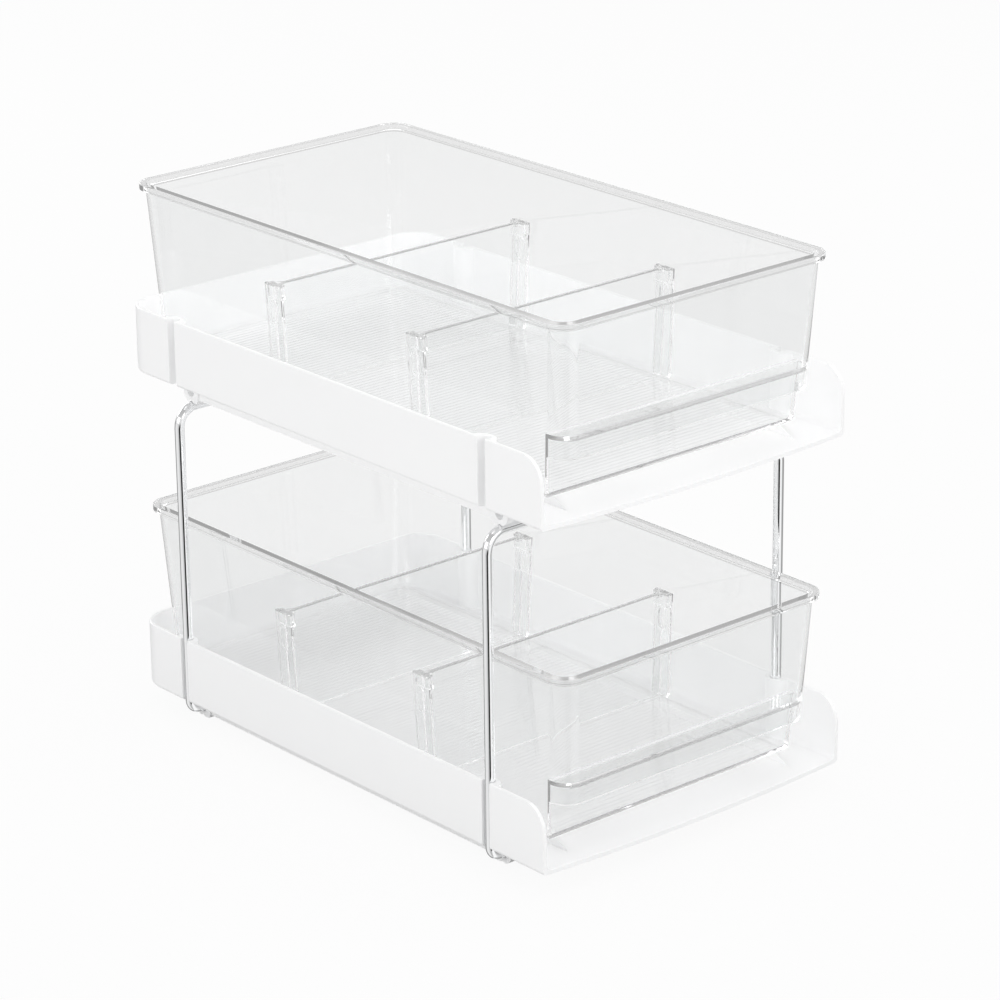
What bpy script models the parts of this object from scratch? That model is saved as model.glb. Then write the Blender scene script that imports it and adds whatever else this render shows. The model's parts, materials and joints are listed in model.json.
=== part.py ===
"""Two-tier pull-out drawer organizer: white trays on wire hoops, clear drawers, lift-out dividers.

Metres, +Z up. The drawers open towards -Y, +X is to the right seen from the front.
The frame sits at the centre of the footprint, on the surface the lower tray's lugs stand on.
"""
import math

import bmesh
import bpy
from mathutils import Matrix, Vector

# Running clearance between pieces that touch in use.
GAP = 0.0003

# White tray, the same moulding on both tiers.
TRAY_WIDTH = 0.2310
TRAY_DEPTH = 0.3792
TRAY_WALL_HEIGHT = 0.0410
TRAY_WALL = 0.0024
TRAY_FLOOR = 0.0024
TRAY_BACK_RADIUS = 0.0200
TRAY_BOTTOM_RADIUS = 0.0022
TRAY_INSIDE_RADIUS = 0.0026
TRAY_FRONT_RADIUS = 0.0160
TRAY_FRONT_BOW = 0.0050
TRAY_EDGE_ROUND = 0.0006

# Wire hoops standing in the tray's side grooves.
WIRE_DIAMETER = 0.0060
HOOP_RISE = 0.1951
HOOP_SETBACK = 0.0487
HOOP_LEG_INSET = 0.0034
HOOP_TOP_BEND = 0.0120
HOOP_FOOT_BEND = 0.0065
HOOP_FOOT_DROP = 0.0063
HOOP_FOOT_PAST_LUG = 0.0024
BOSS_RADIUS = 0.0092
BOSS_WALL = 0.0019

# Skirts under the tray with a round lug at each wire.
SKIRT_INSET = 0.0150
SKIRT_THICKNESS = 0.0022
SKIRT_DROP = 0.0108
LUG_LENGTH = 0.0138
LUG_CORNER_RADIUS = 0.0020
LUG_OUTER_ROUND = 0.0060
LUG_DROP = 0.0128
LUG_THICKNESS = 0.0050
SADDLE_DEPTH = 0.0008

# Rails on the tray floor that carry the drawer.
RAIL_INSET = 0.0074
RAIL_WIDTH = 0.0024
RAIL_HEIGHT = 0.0053
RAIL_SETBACK = 0.0105
RAIL_NOSE = 0.0100
RAIL_END_GAP = 0.0060

# Clear drawer, its rim running between the hoop legs.
DRAWER_SIDE_CLEARANCE = 0.0066
DRAWER_DEPTH = 0.3860
DRAWER_HEIGHT = 0.1048
DRAWER_WALL = 0.0020
DRAWER_FLOOR = 0.0023
DRAWER_DRAFT = math.radians(3.3)
DRAWER_CORNER_RADIUS = 0.0120
DRAWER_BOTTOM_RADIUS = 0.0030
LIP_OVERHANG = 0.0026
LIP_CORNER_RADIUS = 0.0126
LIP_HEIGHT = 0.0040
LIP_ROUND = 0.0005
FLOOR_RIB_PITCH = 0.0040
FLOOR_RIB_WIDTH = 0.0024
FLOOR_RIB_HEIGHT = 0.0001
FLOOR_RIB_MARGIN = 0.0070

# Finger pull: ledge, hanging skirt and set-back lower front.
LEDGE_UNDERSIDE = 0.0360
LEDGE_THICKNESS = 0.0025
PULL_SKIRT = 0.0110
PULL_DEPTH = 0.0133
PANEL_TILT = math.radians(4.5)
PANEL_FOOT_ROUND = 0.0020

# Lift-out divider, two in each drawer.
DIVIDER_HEIGHT = 0.0659
DIVIDER_THICKNESS = 0.0018
DIVIDER_PLATE_WIDTH = 0.0140
DIVIDER_PLATE_THICKNESS = 0.0020
DIVIDER_HEAD_WIDTH = 0.0116
DIVIDER_HEAD_HEIGHT = 0.0085
DIVIDER_HEAD_DEPTH = 0.0034
DIVIDER_PILL_WIDTH = 0.0084
DIVIDER_PILL_HEIGHT = 0.0146
DIVIDER_PILL_DEPTH = 0.0010
DIVIDER_PILL_GAP = 0.0012
DIVIDER_GUSSET = 0.0080
DIVIDER_GUSSET_THICKNESS = 0.0022
DIVIDER_SIDE_PLAY = 0.0004
FRONT_DIVIDER_AT = 0.1290
REAR_DIVIDER_AT = 0.2565

CORNER_STEPS = 8
WIRE_SIDES = 24
# How far a cutting shape runs past what it cuts.
CUT_OVERRUN = 0.0100

# Derived sizes.
WIRE_RADIUS = WIRE_DIAMETER / 2
LEG_X = TRAY_WIDTH / 2 - HOOP_LEG_INSET
SKIRT_SPACING = TRAY_WIDTH - 2 * SKIRT_INSET
HOOP_FOOT_REACH = LEG_X - (SKIRT_SPACING - LUG_THICKNESS) / 2 + HOOP_FOOT_PAST_LUG
GROOVE_RADIUS = WIRE_RADIUS + GAP
DRAFT_SLOPE = math.tan(DRAWER_DRAFT)
TILT_SLOPE = math.tan(PANEL_TILT)
DRAWER_WIDTH = 2 * (LEG_X - WIRE_RADIUS - DRAWER_SIDE_CLEARANCE)
DRAWER_FOOT_WIDTH = DRAWER_WIDTH - 2 * (LIP_OVERHANG + DRAWER_HEIGHT * DRAFT_SLOPE)
RAIL_SPACING = DRAWER_FOOT_WIDTH - 2 * RAIL_INSET
HOOP_TOP_Z = HOOP_RISE - HOOP_FOOT_DROP
TIER_PITCH = HOOP_TOP_Z + WIRE_RADIUS + GAP + LUG_DROP - SADDLE_DEPTH
DRAWER_LIFT = TRAY_FLOOR + RAIL_HEIGHT + GAP
WALL_TOP_OVER_DRAWER = TRAY_WALL_HEIGHT - DRAWER_LIFT
DRAWER_REAR_INSET = LIP_OVERHANG + (DRAWER_HEIGHT - WALL_TOP_OVER_DRAWER) * DRAFT_SLOPE
DRAWER_REAR = TRAY_DEPTH - TRAY_WALL - GAP + DRAWER_REAR_INSET
DRAWER_FRONT = DRAWER_REAR - DRAWER_DEPTH
FRONT_MOST = min(-TRAY_FRONT_BOW, DRAWER_FRONT)
REAR_MOST = max(TRAY_DEPTH, DRAWER_REAR)
TRAY_FRONT_Y = -(FRONT_MOST + REAR_MOST) / 2


def clear_scene():
    for old in list(bpy.data.objects):
        bpy.data.objects.remove(old, do_unlink=True)


def make_material(name, colour, roughness, metallic=0.0, alpha=1.0):
    material = bpy.data.materials.new(name)
    material.use_nodes = True
    shader = material.node_tree.nodes["Principled BSDF"]
    shader.inputs["Base Color"].default_value = (*colour, 1.0)
    shader.inputs["Roughness"].default_value = roughness
    shader.inputs["Metallic"].default_value = metallic
    shader.inputs["Alpha"].default_value = alpha
    material.diffuse_color = (*colour, alpha)
    return material


def mesh_object(name, bm):
    bmesh.ops.recalc_face_normals(bm, faces=bm.faces)
    mesh = bpy.data.meshes.new(name)
    bm.to_mesh(mesh)
    bm.free()
    obj = bpy.data.objects.new(name, mesh)
    bpy.context.scene.collection.objects.link(obj)
    return obj


def loft(name, rings):
    """Closed solid through rings of equal point count."""
    bm = bmesh.new()
    layers = [[bm.verts.new(point) for point in ring] for ring in rings]
    count = len(rings[0])
    for lower, upper in zip(layers, layers[1:]):
        for i in range(count):
            j = (i + 1) % count
            bm.faces.new((lower[i], lower[j], upper[j], upper[i]))
    bm.faces.new(layers[0])
    bm.faces.new(layers[-1])
    return mesh_object(name, bm)


def rounded_foot(radius, z, steps):
    """Inset and height pairs up a quarter round that starts at height z."""
    pairs = []
    for i in range(steps + 1):
        angle = math.radians(90 * i / steps)
        pairs.append((radius * (1 - math.sin(angle)), z + radius * (1 - math.cos(angle))))
    return pairs


def rounded_top(radius, z, steps):
    """Inset and height pairs over a quarter round that ends at height z."""
    return [(inset, 2 * z - height) for inset, height in reversed(rounded_foot(radius, z, steps))]


def at_height(outline, z):
    return [(x, y, z) for x, y in outline]


def box(name, low, high):
    bm = bmesh.new()
    size = [b - a for a, b in zip(low, high)]
    middle = [(a + b) / 2 for a, b in zip(low, high)]
    matrix = Matrix.Translation(middle) @ Matrix.Diagonal((*size, 1.0))
    bmesh.ops.create_cube(bm, size=1.0, matrix=matrix)
    return mesh_object(name, bm)


def cylinder(name, radius, start, end, sides=32):
    start = Vector(start)
    end = Vector(end)
    axis = end - start
    turn = Vector((0, 0, 1)).rotation_difference(axis).to_matrix().to_4x4()
    bm = bmesh.new()
    bmesh.ops.create_cone(
        bm, cap_ends=True, segments=sides, radius1=radius, radius2=radius, depth=axis.length,
        matrix=Matrix.Translation((start + end) / 2) @ turn,
    )
    return mesh_object(name, bm)


def side_profile(name, outline_yz, x_low, x_high):
    """Prism with a side-view outline, running across the width."""
    return loft(name, [[(x, y, z) for y, z in outline_yz] for x in (x_low, x_high)])


def combine(body, tool, operation):
    """Apply one Boolean and drop the tool."""
    modifier = body.modifiers.new("combine", "BOOLEAN")
    modifier.operation = operation
    modifier.solver = "EXACT"
    modifier.object = tool
    bpy.context.view_layer.update()
    graph = bpy.context.evaluated_depsgraph_get()
    result = bpy.data.meshes.new_from_object(body.evaluated_get(graph))
    body.modifiers.clear()
    body.data = result
    bpy.data.objects.remove(tool, do_unlink=True)
    return body


def join(body, *tools):
    for tool in tools:
        combine(body, tool, "UNION")
    return body


def cut(body, *tools):
    for tool in tools:
        combine(body, tool, "DIFFERENCE")
    return body


def finish_mesh(obj, material, smooth_angle=32):
    mesh = obj.data
    mesh.materials.clear()
    mesh.materials.append(material)
    mesh.shade_smooth()
    mesh.set_sharp_from_angle(angle=math.radians(smooth_angle))
    return mesh


def place(name, mesh, collection, location, parent=None):
    obj = bpy.data.objects.new(name, mesh)
    collection.objects.link(obj)
    obj.location = location
    obj.parent = parent
    return obj


def corner_arc(cx, cy, radius, start_degrees, steps=CORNER_STEPS):
    points = []
    for i in range(steps + 1):
        angle = math.radians(start_degrees + 90 * i / steps)
        points.append((cx + radius * math.cos(angle), cy + radius * math.sin(angle)))
    return points


def rounded_rectangle(half_width, front, back, radius):
    x = half_width - radius
    outline = corner_arc(x, front + radius, radius, -90)
    outline += corner_arc(x, back - radius, radius, 0)
    outline += corner_arc(-x, back - radius, radius, 90)
    outline += corner_arc(-x, front + radius, radius, 180)
    return outline


def tray_ring(inset, z, overrun=CUT_OVERRUN):
    """Tray plan at one height, run on past the front edge that is trimmed later."""
    half = TRAY_WIDTH / 2 - inset
    radius = TRAY_BACK_RADIUS - inset
    back = TRAY_DEPTH - inset
    front = -TRAY_FRONT_BOW - overrun
    outline = [(-half, front), (half, front)]
    outline += corner_arc(half - radius, back - radius, radius, 0)
    outline += corner_arc(-half + radius, back - radius, radius, 90)
    return at_height(outline, z)


def upright(name, outline, z_low, z_high):
    """Prism standing on a plan outline."""
    return loft(name, [at_height(outline, z) for z in (z_low, z_high)])


def build_tray():
    """Open-fronted tray: floor, low walls, wire grooves, rails, skirts and lugs."""
    outside = rounded_foot(TRAY_BOTTOM_RADIUS, 0, 4)
    outside += rounded_top(TRAY_EDGE_ROUND, TRAY_WALL_HEIGHT, 2)
    body = loft("tray_body", [tray_ring(inset, z) for inset, z in outside])
    inside = [(TRAY_WALL + inset, z) for inset, z in
              rounded_foot(TRAY_INSIDE_RADIUS, TRAY_FLOOR, 4)]
    inside += [(TRAY_WALL, TRAY_WALL_HEIGHT - TRAY_EDGE_ROUND),
               (TRAY_WALL - TRAY_EDGE_ROUND, TRAY_WALL_HEIGHT),
               (TRAY_WALL - TRAY_EDGE_ROUND, TRAY_WALL_HEIGHT + CUT_OVERRUN)]
    cut(body, loft("tray_hollow", [tray_ring(inset, z, 2 * CUT_OVERRUN) for inset, z in inside]))

    bow = []
    for i in range(25):
        t = -1 + 2 * i / 24
        bow.append((t * TRAY_WIDTH / 2, -TRAY_FRONT_BOW * (1 - t * t)))
    wide = TRAY_WIDTH
    ahead = -TRAY_FRONT_BOW - 3 * CUT_OVERRUN
    over_walls = TRAY_WALL_HEIGHT + CUT_OVERRUN
    trim_outline = [(-wide, 0)] + bow + [(wide, 0), (wide, ahead), (-wide, ahead)]
    cut(body, upright("front_trim", trim_outline, -CUT_OVERRUN, over_walls))

    wire_rows = (HOOP_SETBACK, TRAY_DEPTH - HOOP_SETBACK)
    boss_x = LEG_X - GROOVE_RADIUS - BOSS_WALL + BOSS_RADIUS
    wall_middle = (TRAY_WIDTH - TRAY_WALL) / 2
    opening = math.acos((wall_middle - boss_x) / BOSS_RADIUS)
    for side in (-1, 1):
        for y in wire_rows:
            outline = []
            for i in range(21):
                angle = opening + (2 * math.pi - 2 * opening) * i / 20
                outline.append((side * (boss_x + BOSS_RADIUS * math.cos(angle)),
                                y + BOSS_RADIUS * math.sin(angle)))
            join(body, upright("groove_boss", outline, TRAY_FLOOR / 2,
                               TRAY_WALL_HEIGHT - TRAY_EDGE_ROUND / 2))

    arc = []
    for i in range(11):
        angle = math.radians(90 + 90 * i / 10)
        arc.append((TRAY_FRONT_RADIUS * (1 + math.cos(angle)),
                    TRAY_WALL_HEIGHT + TRAY_FRONT_RADIUS * (math.sin(angle) - 1)))
    clip = [(TRAY_FRONT_RADIUS, over_walls)] + arc
    clip += [(ahead, arc[-1][1]), (ahead, over_walls)]
    cut(body, side_profile("front_corner_clip", clip, -TRAY_WIDTH, TRAY_WIDTH))

    for side in (-1, 1):
        for y in wire_rows:
            outside_x = side * (LEG_X + CUT_OVERRUN)
            outline = [(outside_x, y - GROOVE_RADIUS)]
            for i in range(13):
                angle = math.radians(-90 - 180 * i / 12)
                outline.append((side * (LEG_X + GROOVE_RADIUS * math.cos(angle)),
                                y + GROOVE_RADIUS * math.sin(angle)))
            outline.append((outside_x, y + GROOVE_RADIUS))
            cut(body, upright("groove", outline, -CUT_OVERRUN, over_walls))

    rail_back = TRAY_DEPTH - TRAY_WALL - RAIL_END_GAP
    rail_top = TRAY_FLOOR + RAIL_HEIGHT
    rail_outline = [
        (RAIL_SETBACK, TRAY_FLOOR / 2),
        (rail_back, TRAY_FLOOR / 2),
        (rail_back, rail_top),
        (RAIL_SETBACK + RAIL_NOSE, rail_top),
        (RAIL_SETBACK, TRAY_FLOOR),
    ]
    for side in (-1, 1):
        x = side * RAIL_SPACING / 2
        join(body, side_profile("rail", rail_outline, x - RAIL_WIDTH / 2, x + RAIL_WIDTH / 2))

    for side in (-1, 1):
        x = side * SKIRT_SPACING / 2
        join(body, box(
            "skirt",
            (x - SKIRT_THICKNESS / 2, wire_rows[0], -SKIRT_DROP),
            (x + SKIRT_THICKNESS / 2, wire_rows[1], TRAY_FLOOR / 2),
        ))
        for y, inward in zip(wire_rows, (1, -1)):
            half = LUG_LENGTH / 2
            outline = [(half, TRAY_FLOOR / 2), (-half, TRAY_FLOOR / 2)]
            outline += corner_arc(LUG_OUTER_ROUND - half, LUG_OUTER_ROUND - LUG_DROP,
                                  LUG_OUTER_ROUND, 180)
            outline += corner_arc(half - LUG_CORNER_RADIUS, LUG_CORNER_RADIUS - LUG_DROP,
                                  LUG_CORNER_RADIUS, 270)
            outline = [(y + inward * along, z) for along, z in outline]
            join(body, side_profile("lug", outline, x - LUG_THICKNESS / 2, x + LUG_THICKNESS / 2))
            for z in (-HOOP_FOOT_DROP, -LUG_DROP + SADDLE_DEPTH - GROOVE_RADIUS):
                cut(body, cylinder("wire_clearance", GROOVE_RADIUS, (x - CUT_OVERRUN, y, z),
                                   (x + CUT_OVERRUN, y, z), 24))
    return body


def wire_hoop(name):
    """Inverted U of round wire, its two ends turned inboard to sit in the lug holes."""
    foot_z = -HOOP_FOOT_DROP

    def bend(cx, cz, radius, start, end, steps):
        points = []
        for i in range(steps + 1):
            angle = math.radians(start + (end - start) * i / steps)
            points.append((cx + radius * math.cos(angle), cz + radius * math.sin(angle)))
        return points

    right = [(LEG_X - HOOP_FOOT_REACH, foot_z)]
    right += bend(LEG_X - HOOP_FOOT_BEND, foot_z + HOOP_FOOT_BEND, HOOP_FOOT_BEND, -90, 0, 6)
    right += bend(LEG_X - HOOP_TOP_BEND, HOOP_TOP_Z - HOOP_TOP_BEND, HOOP_TOP_BEND, 0, 90, 8)
    left = [(-x, z) for x, z in reversed(right)]
    path = right + left

    curve = bpy.data.curves.new(name + "_path", "CURVE")
    curve.dimensions = "3D"
    curve.bevel_depth = WIRE_RADIUS
    curve.bevel_resolution = WIRE_SIDES // 2 - 2
    curve.use_fill_caps = True
    spline = curve.splines.new("POLY")
    spline.points.add(len(path) - 1)
    for point, (x, z) in zip(spline.points, path):
        point.co = (x, 0, z, 1)
    wire = bpy.data.objects.new(name + "_wire", curve)
    bpy.context.scene.collection.objects.link(wire)
    bpy.context.view_layer.update()
    graph = bpy.context.evaluated_depsgraph_get()
    mesh = bpy.data.meshes.new_from_object(wire.evaluated_get(graph))
    bpy.data.objects.remove(wire, do_unlink=True)
    bm = bmesh.new()
    bm.from_mesh(mesh)
    bmesh.ops.remove_doubles(bm, verts=bm.verts, dist=1e-6)
    return mesh_object(name, bm)


def drawer_ring(inset, z):
    """Outline of the drafted walls at one height, inset inwards."""
    taper = inset + front_wall_y(z)
    outline = rounded_rectangle(DRAWER_WIDTH / 2 - taper, taper, DRAWER_DEPTH - taper,
                                DRAWER_CORNER_RADIUS - inset)
    return at_height(outline, z)


def drawer_shell(name, inset, z_low, z_high, foot_radius=0.0):
    """Drafted rounded box following the drawer's outer walls at a constant inset."""
    levels = [(inset, z_low)]
    if foot_radius:
        levels = [(inset + extra, z) for extra, z in rounded_foot(foot_radius, z_low, 3)]
    levels.append((inset, z_high))
    return loft(name, [drawer_ring(extra, z) for extra, z in levels])


def front_wall_y(z):
    return LIP_OVERHANG + (DRAWER_HEIGHT - z) * DRAFT_SLOPE


def panel_y(z):
    """Outer face of the set-back lower front, leaning back towards the floor."""
    return front_wall_y(LEDGE_UNDERSIDE) + PULL_DEPTH + (LEDGE_UNDERSIDE - z) * TILT_SLOPE


def ahead_of_panel(name, offset, z_low, z_high):
    outline = [(-CUT_OVERRUN, z_low), (panel_y(z_low) + offset, z_low),
               (panel_y(z_high) + offset, z_high), (-CUT_OVERRUN, z_high)]
    return side_profile(name, outline, -DRAWER_WIDTH, DRAWER_WIDTH)


def front_cutback(z_high):
    """Everything ahead of the set-back front below the hanging skirt, with a rounded foot."""
    radius = PANEL_FOOT_ROUND
    foot = panel_y(0) + radius
    outline = [(-CUT_OVERRUN, -CUT_OVERRUN), (foot, -CUT_OVERRUN)]
    for i in range(5):
        angle = math.radians(90 * i / 4)
        z = radius * (1 - math.cos(angle))
        outline.append((panel_y(z) + radius * (1 - math.sin(angle)), z))
    outline += [(panel_y(z_high), z_high), (-CUT_OVERRUN, z_high)]
    return side_profile("front_cutback", outline, -DRAWER_WIDTH, DRAWER_WIDTH)


def first_rib_y():
    return panel_y(DRAWER_FLOOR) + DRAWER_WALL + FLOOR_RIB_MARGIN / 2


def between_ribs(y):
    """Nearest gap between two floor ribs, where a divider's lower edge stands."""
    steps = round((y - first_rib_y()) / FLOOR_RIB_PITCH - 0.5)
    return first_rib_y() + (steps + 0.5) * FLOOR_RIB_PITCH


def build_drawer():
    """Clear bin: drafted walls, rim lip, ribbed floor and an undercut finger pull."""
    body = drawer_shell("drawer_body", 0, 0, DRAWER_HEIGHT, DRAWER_BOTTOM_RADIUS)
    lip_levels = rounded_foot(LIP_ROUND, DRAWER_HEIGHT - LIP_HEIGHT, 2)
    lip_levels += rounded_top(LIP_ROUND, DRAWER_HEIGHT, 2)
    lip_rings = [
        at_height(rounded_rectangle(DRAWER_WIDTH / 2 - inset, inset, DRAWER_DEPTH - inset,
                                    LIP_CORNER_RADIUS - inset), z)
        for inset, z in lip_levels
    ]
    join(body, loft("lip", lip_rings))

    ledge_top = LEDGE_UNDERSIDE + LEDGE_THICKNESS
    skirt_bottom = LEDGE_UNDERSIDE - PULL_SKIRT
    cavity = drawer_shell("cavity", DRAWER_WALL, DRAWER_FLOOR, DRAWER_HEIGHT + CUT_OVERRUN,
                          DRAWER_BOTTOM_RADIUS - DRAWER_WALL / 2)
    cut(cavity, ahead_of_panel("pull_block", DRAWER_WALL, -CUT_OVERRUN, ledge_top))
    cut(body, cavity)

    channel = drawer_shell("channel", DRAWER_WALL, skirt_bottom - CUT_OVERRUN, LEDGE_UNDERSIDE)
    limit = ahead_of_panel("channel_limit", 0, -CUT_OVERRUN, DRAWER_HEIGHT)
    cut(body, combine(channel, limit, "INTERSECT"))
    cut(body, front_cutback(skirt_bottom))

    floor_half = DRAWER_WIDTH / 2 - front_wall_y(0) - DRAWER_WALL
    last_rib = DRAWER_DEPTH - front_wall_y(0) - DRAWER_WALL - FLOOR_RIB_MARGIN
    rib_half = floor_half - FLOOR_RIB_MARGIN
    rib_count = int((last_rib - first_rib_y()) / FLOOR_RIB_PITCH) + 1
    bm = bmesh.new()
    for i in range(rib_count):
        y = first_rib_y() + i * FLOOR_RIB_PITCH
        half = FLOOR_RIB_WIDTH / 2
        section = ((y - half, DRAWER_FLOOR / 2), (y + half, DRAWER_FLOOR / 2),
                   (y + half, DRAWER_FLOOR), (y, DRAWER_FLOOR + FLOOR_RIB_HEIGHT),
                   (y - half, DRAWER_FLOOR))
        ends = [[bm.verts.new((x, py, pz)) for py, pz in section] for x in (-rib_half, rib_half)]
        for end in ends:
            bm.faces.new(end)
        for a in range(5):
            b = (a + 1) % 5
            bm.faces.new((ends[0][a], ends[0][b], ends[1][b], ends[1][a]))
    return join(body, mesh_object("floor_ribs", bm))


def inner_half_width(z):
    return DRAWER_WIDTH / 2 - front_wall_y(z) - DRAWER_WALL


def build_divider():
    """Cross panel with a flanged end plate at each side wall, wider at the top than below."""
    bottom = DRAWER_FLOOR + GAP
    top = bottom + DIVIDER_HEIGHT

    def reach(z):
        return inner_half_width(z) - DIVIDER_SIDE_PLAY

    web_half = DIVIDER_THICKNESS / 2
    plate_half = DIVIDER_PLATE_WIDTH / 2
    foot = DRAWER_BOTTOM_RADIUS / 2
    rings = []
    for z, chamfer in ((bottom, foot), (bottom + foot, 0), (top, 0)):
        outer = reach(z) - chamfer
        inner = reach(z) - DIVIDER_PLATE_THICKNESS
        quarter = [(inner, web_half), (inner, plate_half), (outer, plate_half)]
        outline = quarter + [(x, -y) for x, y in reversed(quarter)]
        outline += [(-x, -y) for x, y in quarter]
        outline += [(-x, y) for x, y in reversed(quarter)]
        rings.append([(x, y, z - bottom) for x, y in outline])
    body = loft("divider_body", rings)

    head_low = DIVIDER_HEIGHT - DIVIDER_HEAD_HEIGHT
    for side in (-1, 1):
        def plate_ring(z, outer_inset, depth, half_width):
            outer = reach(z + bottom) - outer_inset
            corners = ((outer, -half_width), (outer, half_width),
                       (outer - depth, half_width), (outer - depth, -half_width))
            return [(side * x, y, z) for x, y in corners]

        head = loft("head", [
            plate_ring(z, DIVIDER_PLATE_THICKNESS / 2, DIVIDER_HEAD_DEPTH, DIVIDER_HEAD_WIDTH / 2)
            for z in (head_low, DIVIDER_HEIGHT)
        ])
        start = reach(top) - DIVIDER_PLATE_THICKNESS / 2
        tip = start - DIVIDER_HEAD_DEPTH - DIVIDER_GUSSET
        triangle = [(side * start, -DIVIDER_HEAD_WIDTH / 3), (side * tip, 0),
                    (side * start, DIVIDER_HEAD_WIDTH / 3)]
        gusset = loft("gusset", [
            at_height(triangle, z)
            for z in (DIVIDER_HEIGHT - DIVIDER_GUSSET_THICKNESS, DIVIDER_HEIGHT)
        ])
        join(body, head, gusset)

        pill_radius = DIVIDER_PILL_WIDTH / 2
        pill_straight = DIVIDER_PILL_HEIGHT / 2 - pill_radius
        pill_mid = head_low - DIVIDER_PILL_GAP - DIVIDER_PILL_HEIGHT / 2
        outline = []
        for centre, start_angle in ((pill_mid + pill_straight, 0), (pill_mid - pill_straight, 180)):
            for i in range(9):
                angle = math.radians(start_angle + 180 * i / 8)
                outline.append((pill_radius * math.cos(angle),
                                centre + pill_radius * math.sin(angle)))
        ring_pair = []
        for offset in (-DIVIDER_PILL_DEPTH, DIVIDER_PLATE_THICKNESS):
            ring_pair.append([
                (side * (reach(z + bottom) + offset), y, z) for y, z in outline
            ])
        cut(body, loft("pill", ring_pair))
    return body, bottom


clear_scene()
parts = bpy.data.collections.new("drawer_organizer_tray")
bpy.context.scene.collection.children.link(parts)

white_plastic = make_material("white_plastic", (0.86, 0.86, 0.86), 0.35)
clear_plastic = make_material("clear_plastic", (0.93, 0.95, 0.96), 0.08, alpha=0.35)
chrome_wire = make_material("chrome_wire", (0.72, 0.73, 0.75), 0.12, metallic=1.0)

tray = build_tray()
tray_mesh = finish_mesh(tray, white_plastic)
drawer = build_drawer()
drawer_mesh = finish_mesh(drawer, clear_plastic)
divider, divider_base = build_divider()
divider_mesh = finish_mesh(divider, clear_plastic)
hoop = wire_hoop("hoop")
hoop_mesh = finish_mesh(hoop, chrome_wire, 40)
for pattern in (tray, drawer, divider, hoop):
    bpy.data.objects.remove(pattern, do_unlink=True)

lower_base = Vector((0, TRAY_FRONT_Y, LUG_DROP))
tiers = (("lower", lower_base), ("upper", lower_base + Vector((0, 0, TIER_PITCH))))
for tier, base in tiers:
    place(tier + "_tray", tray_mesh, parts, base)
    drawer_at = base + Vector((0, DRAWER_FRONT, DRAWER_LIFT))
    drawer_object = place(tier + "_drawer", drawer_mesh, parts, drawer_at)
    for row, y in (("front", FRONT_DIVIDER_AT), ("rear", REAR_DIVIDER_AT)):
        place(tier + "_" + row + "_divider", divider_mesh, parts,
              (0, between_ribs(y), divider_base), drawer_object)
for row, y in (("front", HOOP_SETBACK), ("rear", TRAY_DEPTH - HOOP_SETBACK)):
    place(row + "_hoop", hoop_mesh, parts, lower_base + Vector((0, y, 0)))
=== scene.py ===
"""Two-tier pull-out organizer: white trays on chrome wire hoops, clear bins and dividers."""
import json
import math

import bmesh
import bpy
from mathutils import Matrix, Vector

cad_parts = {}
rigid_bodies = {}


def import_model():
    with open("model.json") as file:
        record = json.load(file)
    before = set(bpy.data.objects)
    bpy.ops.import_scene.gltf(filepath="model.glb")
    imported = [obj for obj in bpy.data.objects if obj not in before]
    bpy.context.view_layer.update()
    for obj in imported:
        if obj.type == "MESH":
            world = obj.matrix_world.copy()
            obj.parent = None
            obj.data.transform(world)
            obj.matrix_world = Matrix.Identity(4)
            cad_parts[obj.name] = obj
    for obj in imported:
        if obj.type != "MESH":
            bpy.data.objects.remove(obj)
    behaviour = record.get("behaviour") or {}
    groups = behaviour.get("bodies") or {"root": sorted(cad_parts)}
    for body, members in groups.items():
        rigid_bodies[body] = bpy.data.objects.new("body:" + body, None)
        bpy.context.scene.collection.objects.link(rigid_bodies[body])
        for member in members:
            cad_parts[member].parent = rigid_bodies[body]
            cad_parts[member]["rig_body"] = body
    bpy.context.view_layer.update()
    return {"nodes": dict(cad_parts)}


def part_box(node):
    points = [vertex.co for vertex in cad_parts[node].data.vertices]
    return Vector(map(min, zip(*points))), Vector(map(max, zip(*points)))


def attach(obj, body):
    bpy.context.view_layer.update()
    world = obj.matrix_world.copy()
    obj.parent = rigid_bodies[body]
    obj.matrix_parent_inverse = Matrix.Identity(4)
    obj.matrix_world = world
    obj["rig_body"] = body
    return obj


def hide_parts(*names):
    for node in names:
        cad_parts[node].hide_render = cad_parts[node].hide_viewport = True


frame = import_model()
scene = bpy.context.scene
nodes = frame["nodes"]

# The two trays. One white polypropylene moulding is used on both tiers, glossy outside with the
# slight orange peel of a large flat moulding, and its short walls carry the wire grooves.


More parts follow.
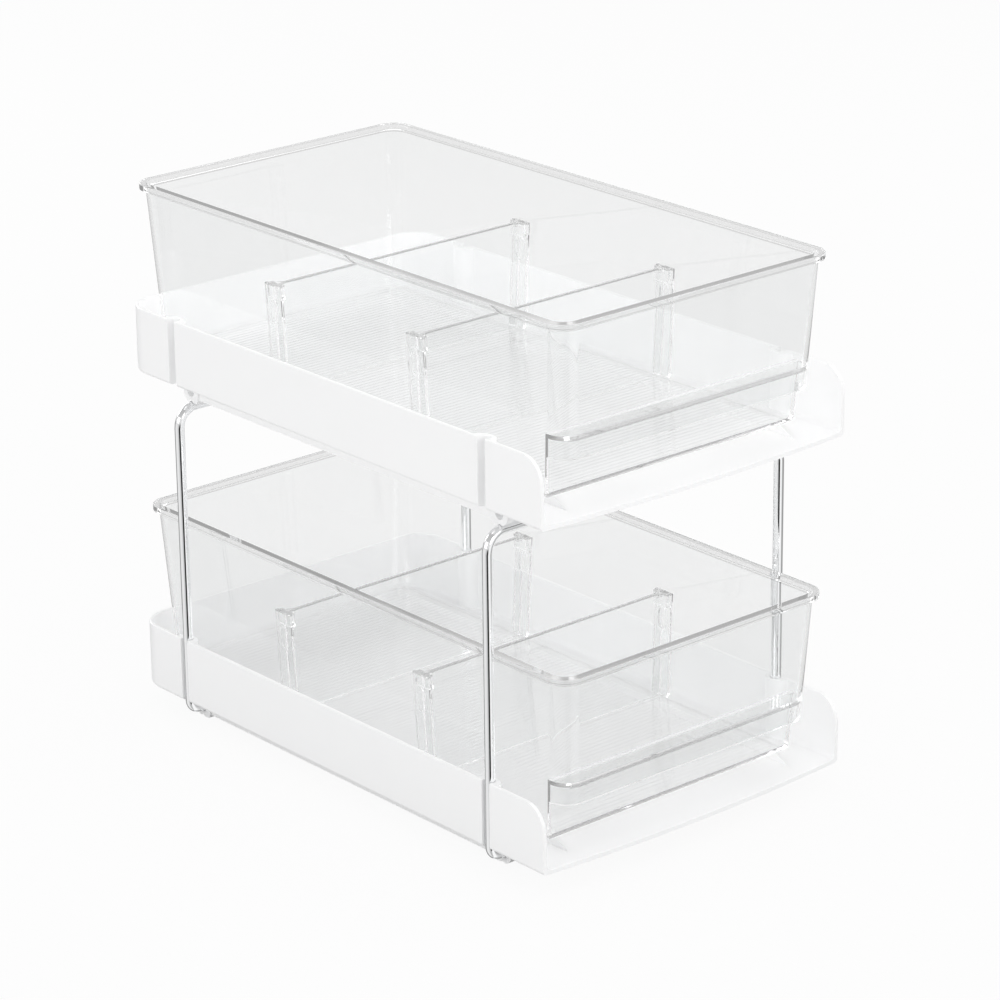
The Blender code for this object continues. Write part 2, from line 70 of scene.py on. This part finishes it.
class Socket:
    """One shader socket, so that shader maths reads as plain expressions."""

    def __init__(self, material, socket):
        self.material = material
        self.socket = socket

    def node(self, kind, settings=None, **values):
        """Any other node: its type, its settings, then the values or links of its sockets."""
        made = self.material.node_tree.nodes.new(kind)
        for name, value in (settings or {}).items():
            if name == "stops":
                ramp = made.color_ramp
                while len(ramp.elements) < len(value):
                    ramp.elements.new(0.5)
                for element, (position, colour) in zip(ramp.elements, value):
                    element.position = position
                    element.color = colour
            else:
                setattr(made, name, value)
        for name, value in values.items():
            if name.startswith("input_"):
                target = made.inputs[int(name[6:])]
            else:
                target = made.inputs[name.replace("_", " ")]
            self.feed(target, value)
        return made

    def feed(self, target, value):
        if isinstance(value, Socket):
            self.material.node_tree.links.new(value.socket, target)
        else:
            target.default_value = value

    def of(self, made, output=0):
        return Socket(self.material, made.outputs[output])

    def maths(self, operation, first, second):
        settings = {"operation": operation}
        return self.of(self.node("ShaderNodeMath", settings, input_0=first, input_1=second))

    def __add__(self, other):
        return self.maths("ADD", self, other)

    def __radd__(self, other):
        return self.maths("ADD", other, self)

    def __mul__(self, other):
        return self.maths("MULTIPLY", self, other)

    def __rmul__(self, other):
        return self.maths("MULTIPLY", other, self)

    def __gt__(self, other):
        return self.maths("GREATER_THAN", self, other)

    def __lt__(self, other):
        return self.maths("LESS_THAN", self, other)

    def blend(self, low, high):
        """Colour between low and high as this value goes from 0 to 1."""
        made = self.node("ShaderNodeMix", {"data_type": "RGBA"}, input_0=self, input_6=low,
                         input_7=high)
        return self.of(made, 2)


def grey(value):
    return (value, value, value, 1.0)


def new_finish(name):
    """A fresh Principled material, its shader and a socket in the object's own coordinates."""
    material = bpy.data.materials.new(name)
    material.use_nodes = True
    shader = material.node_tree.nodes["Principled BSDF"]
    start = Socket(material, None)
    place = start.of(start.node("ShaderNodeTexCoord"), "Object")
    return material, shader, place


def noise(place, scale, detail=2.0, roughness=0.5):
    made = place.node("ShaderNodeTexNoise", None, Vector=place, Scale=scale, Detail=detail,
                      Roughness=roughness)
    return place.of(made, "Fac")


def raise_surface(shader, height, strength, distance):
    bump = height.node("ShaderNodeBump", None, Height=height, Strength=strength,
                       Distance=distance)
    height.feed(shader.inputs["Normal"], height.of(bump))


WELD_DISTANCE = 1e-6
SHARPEST_ROUND = math.radians(50)
FLATS_WEIGHT = 90


def dress(material, *names, lets_light_by=False):
    """The same form with its facets welded, so that its rounds shade as rounds and flats as flats.

    A piece that lets light by casts no shadow and isn't met by bounced light.
    """
    for name in names:
        form = bmesh.new()
        form.from_mesh(nodes[name].data)
        bmesh.ops.remove_doubles(form, verts=form.verts, dist=WELD_DISTANCE)
        form.verts.index_update()
        faces = [[corner.index for corner in face.verts] for face in form.faces]
        mesh = bpy.data.meshes.new(name + "_form")
        mesh.from_pydata([corner.co for corner in form.verts], [], faces)
        form.free()
        mesh.shade_smooth()
        mesh.set_sharp_from_angle(angle=SHARPEST_ROUND)
        mesh.materials.append(material)
        piece = bpy.data.objects.new(name + "_form", mesh)
        scene.collection.objects.link(piece)
        weigh = piece.modifiers.new("flats_stay_flat", "WEIGHTED_NORMAL")
        weigh.keep_sharp = True
        weigh.weight = FLATS_WEIGHT
        piece.visible_shadow = not lets_light_by
        piece.visible_diffuse = not lets_light_by
        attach(piece, nodes[name]["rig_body"])
        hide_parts(name)


white, shader, place = new_finish("white_polypropylene")
cloud = noise(place, 9.0)
peel = noise(place, 420.0, 3.0)
cloud.feed(shader.inputs["Base Color"],
           cloud.blend((0.945, 0.947, 0.95, 1), (0.965, 0.966, 0.968, 1)))
cloud.feed(shader.inputs["Roughness"], 0.30 + 0.10 * noise(place, 35.0))
shader.inputs["Specular IOR Level"].default_value = 0.45
raise_surface(shader, peel, 0.06, 0.0004)
dress(white, "lower_tray", "upper_tray")

# The two hoops. Each is one 6 mm steel wire, cold bent and chrome plated, whose turned-in ends
# plug into the lower tray's lugs and whose top run carries the upper tray.
chrome, shader, place = new_finish("chrome_plated_wire")
haze = noise(place, 60.0, 4.0, 0.6)
haze.feed(shader.inputs["Base Color"], haze.blend((0.90, 0.905, 0.915, 1), (0.95, 0.955, 0.96, 1)))
haze.feed(shader.inputs["Roughness"], 0.03 + 0.04 * haze)
shader.inputs["Metallic"].default_value = 1.0
raise_surface(shader, noise(place, 900.0, 2.0), 0.05, 0.0002)
dress(chrome, "front_hoop", "rear_hoop")

# The two bins. Crystal clear polystyrene, moulded in one piece with polished walls whose long faces
# are never quite flat. The rim, the ledge, the floor and the foot of the front carry painted shade:
# grey bands and lines painted where those plates look dark.
# Lamps and bounced light reach the trays through them.
# Painted shade: these bound the bands and lines painted grey on the bins, and give the grey painted
# in each.
RIM_BAND_HEIGHT = 0.1008
RIM_LINE_LOW = 0.1005
RIM_LINE_HIGH = 0.1012
LEDGE_LOW = 0.0358
LEDGE_HIGH = 0.0387
LEDGE_DEPTH = 0.0085
FLOOR_PLATE_HEIGHT = 0.0026
FOOT_HEIGHT = 0.0028
FOOT_DEPTH = 0.0255
FLOOR_PAINTED_SHADE = 0.92
RIM_PAINTED_SHADE = 0.90
RIM_LINE_PAINTED_SHADE = 0.62
LEDGE_PAINTED_SHADE = 0.50
FOOT_PAINTED_SHADE = 0.45
REFLECTIONS_SHOWN = 2.5


def clear_plastic(name, painted_shade_zones):
    """Clear plastic with painted shade inside each zone: a function of the place to 0 or 1, and its
    grey.
    """
    clear, shader, place = new_finish(name)
    ripple = noise(place, 14.0, 1.0)
    haze = noise(place, 50.0, 4.0, 0.6)
    tint_and_painted_shade = haze.blend((0.965, 0.97, 0.97, 1), (0.985, 0.988, 0.988, 1))
    split = place.node("ShaderNodeSeparateXYZ", None, Vector=place)
    # Painted shade: each zone paints its grey over the plastic's own slight tint.
    for inside, colour in painted_shade_zones:
        tint_and_painted_shade = inside(place.of(split, "Y"), place.of(split, "Z")).blend(tint_and_painted_shade, grey(colour))
    haze.feed(shader.inputs["Base Color"], tint_and_painted_shade)
    haze.feed(shader.inputs["Roughness"], 0.010 + 0.02 * haze)
    shader.inputs["IOR"].default_value = 1.49
    shader.inputs["Transmission Weight"].default_value = 1.0
    raise_surface(shader, ripple, 0.10, 0.002)
    # Light that has been mirrored more often passes straight on, or it would end black in a plate.
    rays = haze.node("ShaderNodeLightPath")
    passing = haze.of(rays, "Glossy Depth") > REFLECTIONS_SHOWN
    pane = haze.of(haze.node("ShaderNodeBsdfTransparent", None, Color=grey(1.0)))
    solid = Socket(clear, shader.outputs[0])
    through = haze.node("ShaderNodeMixShader", None, input_0=passing, input_1=solid, input_2=pane)
    output = clear.node_tree.nodes["Material Output"]
    clear.node_tree.links.new(through.outputs[0], output.inputs["Surface"])
    return clear


for tier in ("lower", "upper"):
    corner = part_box(tier + "_drawer")[0]
    front, foot = corner[1], corner[2]
    # Painted shade on the floor, the rim, the rim line, the ledge and the foot of the front.
    dress(clear_plastic(tier + "_clear_polystyrene", (
        (lambda y, z: foot + FLOOR_PLATE_HEIGHT > z, FLOOR_PAINTED_SHADE),
        (lambda y, z: z > foot + RIM_BAND_HEIGHT, RIM_PAINTED_SHADE),
        (lambda y, z: (z > foot + RIM_LINE_LOW) * (foot + RIM_LINE_HIGH > z), RIM_LINE_PAINTED_SHADE),
        (lambda y, z: (z > foot + LEDGE_LOW) * (foot + LEDGE_HIGH > z)
         * (front + LEDGE_DEPTH > y), LEDGE_PAINTED_SHADE),
        (lambda y, z: (foot + FOOT_HEIGHT > z) * (front + FOOT_DEPTH > y), FOOT_PAINTED_SHADE),
    )), tier + "_drawer", lets_light_by=True)

# The four dividers. Each is one moulding of the same clear plastic, dropped in between the floor
# ribs, and its top edge carries painted shade: a grey line painted where a thin plate looks dark.
TOP_EDGE_HEIGHT = 0.0010
TOP_EDGE_PAINTED_SHADE = 0.50
for tier in ("lower", "upper"):
    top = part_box(tier + "_front_divider")[1][2]
    # Painted shade: the top edge band of each divider is painted grey.
    dress(clear_plastic(tier + "_clear_divider", (
        (lambda y, z: z > top - TOP_EDGE_HEIGHT, TOP_EDGE_PAINTED_SHADE),
    )), tier + "_front_divider", tier + "_rear_divider", lets_light_by=True)

# The set: a white floor and backdrop, lit at a plain level. Chrome shows only what stands round it,
# here grey walls whose shade changes with the direction, and two dark cards that draw its streaks.
FLOOR_SIZE = 12.0
FLOOR_GAP = 0.0002
floor_mesh = bpy.data.meshes.new("floor")
half = FLOOR_SIZE / 2
floor_mesh.from_pydata([(-half, -half, 0), (half, -half, 0), (half, half, 0), (-half, half, 0)],
                       [], [(0, 1, 2, 3)])
floor = bpy.data.objects.new("floor", floor_mesh)
scene.collection.objects.link(floor)
floor.location.z = -FLOOR_GAP
floor.visible_glossy = False

FLOOR_GLOW = 0.93
FLOOR_GLOW_THROUGH_PLASTIC = 0.6
paper = bpy.data.materials.new("white_paper")
paper.use_nodes = True
tree = paper.node_tree
tree.nodes.clear()
start = Socket(paper, None)
rays = start.node("ShaderNodeLightPath")
seen = (FLOOR_GLOW * start.of(rays, "Is Camera Ray")
        + FLOOR_GLOW_THROUGH_PLASTIC * start.of(rays, "Is Transmission Ray"))
matte = start.of(start.node("ShaderNodeBsdfDiffuse", None, Color=grey(0.70)))
glow = start.of(start.node("ShaderNodeEmission", None, Color=grey(1.0), Strength=1.0))
mixed = start.of(start.node("ShaderNodeMixShader", None, input_0=seen,
                            input_1=matte, input_2=glow))
start.node("ShaderNodeOutputMaterial", None, Surface=mixed)
floor_mesh.materials.append(paper)

world = bpy.data.worlds.new("studio")
scene.world = world
world.use_nodes = True
world.node_tree.nodes.clear()
start = Socket(world, None)
rays = start.node("ShaderNodeLightPath")
direction = start.of(start.node("ShaderNodeTexCoord"), "Generated")
split = start.node("ShaderNodeSeparateXYZ", None, Vector=direction)
height = start.of(split, "Z")
sky = start.node("ShaderNodeValToRGB", {"stops": [
    (0.0, grey(0.80)), (0.3, grey(0.76)), (0.6, grey(0.56)), (1.0, grey(0.50))]}, Fac=height)
turn = start.of(split, "X").maths("ARCTAN2", start.of(split, "X"), -1.0 * start.of(split, "Y"))
around = start.node("ShaderNodeValToRGB", {"stops": [
    (0.00, grey(0.30)), (0.085, grey(0.32)), (0.105, grey(0.85)), (0.26, grey(0.85)),
    (0.36, grey(0.50)), (0.44, grey(0.50)), (0.47, grey(1.0)), (0.57, grey(1.0)),
    (0.60, grey(0.66)), (0.66, grey(0.32)), (0.76, grey(0.38)), (0.83, grey(0.42)),
    (0.86, grey(0.85)), (0.92, grey(0.85)), (0.94, grey(0.30)), (1.00, grey(0.30))]},
                    Fac=0.5 + turn * (0.5 / math.pi))
room = (height > 0.0).blend(start.of(around), start.of(sky))
# Each card is the direction of its middle, and the cosine of the angle from there to its edge.
FRONT_CARD = ((-0.4826, -0.8034, -0.3486), 0.958)
SIDE_CARD = ((0.611, -0.766, 0.2), 0.988)
CARD_SHADE = 0.03
for middle, edge_cosine in (FRONT_CARD, SIDE_CARD):
    towards = start.node("ShaderNodeVectorMath", {"operation": "DOT_PRODUCT"}, input_0=direction,
                         input_1=middle)
    room = (start.of(towards, "Value") > edge_cosine).blend(room, grey(CARD_SHADE))
shown = start.of(rays, "Is Camera Ray") + start.of(rays, "Is Transmission Ray")
background = shown.blend(room, grey(1.0))
start.node("ShaderNodeOutputWorld", None,
           Surface=start.of(start.node("ShaderNodeBackground", None, Color=background,
                                       Strength=1.0)))


LIT_POINT = Vector((0, 0, 0.1))
LAMP_DISTANCE = 2.0
SIDE_LAMP_HEIGHT = 0.85


def soft_box(name, place, size, power):
    """A rectangle of light that faces the lit point."""
    lamp = bpy.data.lights.new(name, "AREA")
    lamp.shape = "RECTANGLE"
    lamp.size, lamp.size_y = size
    lamp.energy = power
    box = bpy.data.objects.new(name, lamp)
    scene.collection.objects.link(box)
    box.location = place
    aim = LIT_POINT - Vector(place)
    box.rotation_euler = aim.to_track_quat("-Z", "Y").to_euler()


soft_box("overhead", (0.1, -0.2, LAMP_DISTANCE), (1.8, 1.8), 10)
for name, x, y, power in (("left", -1, 0, 10), ("front", 0, -1, 11), ("right", 1, 0, 9),
                          ("back", 0, 1, 10)):
    soft_box(name, (x * LAMP_DISTANCE, y * LAMP_DISTANCE, SIDE_LAMP_HEIGHT), (1.6, 0.8), power)

# The viewpoint. A long lens about 2.4 m away, to the left of the front, looks down on the object
# at about 20 degrees.
VIEW_AZIMUTH = math.radians(-40.668)
VIEW_ELEVATION = math.radians(20.417)
VIEW_ROLL = math.radians(-0.641)
VIEW_POINT = Vector((-1.4358, -1.6925, 0.9804))
camera = bpy.data.cameras.new("camera")
camera.lens = 143.82
camera.sensor_width = 36.0
camera.clip_end = 50.0
viewer = bpy.data.objects.new("camera", camera)
scene.collection.objects.link(viewer)
back = Vector((math.sin(VIEW_AZIMUTH) * math.cos(VIEW_ELEVATION),
               -math.cos(VIEW_AZIMUTH) * math.cos(VIEW_ELEVATION), math.sin(VIEW_ELEVATION)))
right = Vector((math.cos(VIEW_AZIMUTH), math.sin(VIEW_AZIMUTH), 0))
up = back.cross(right)
turned_right = right * math.cos(VIEW_ROLL) + up * math.sin(VIEW_ROLL)
turned_up = up * math.cos(VIEW_ROLL) - right * math.sin(VIEW_ROLL)
axes = Matrix((turned_right, turned_up, back)).transposed()
viewer.matrix_world = Matrix.Translation(VIEW_POINT) @ axes.to_4x4()
scene.camera = viewer

scene.view_settings.view_transform = "Standard"
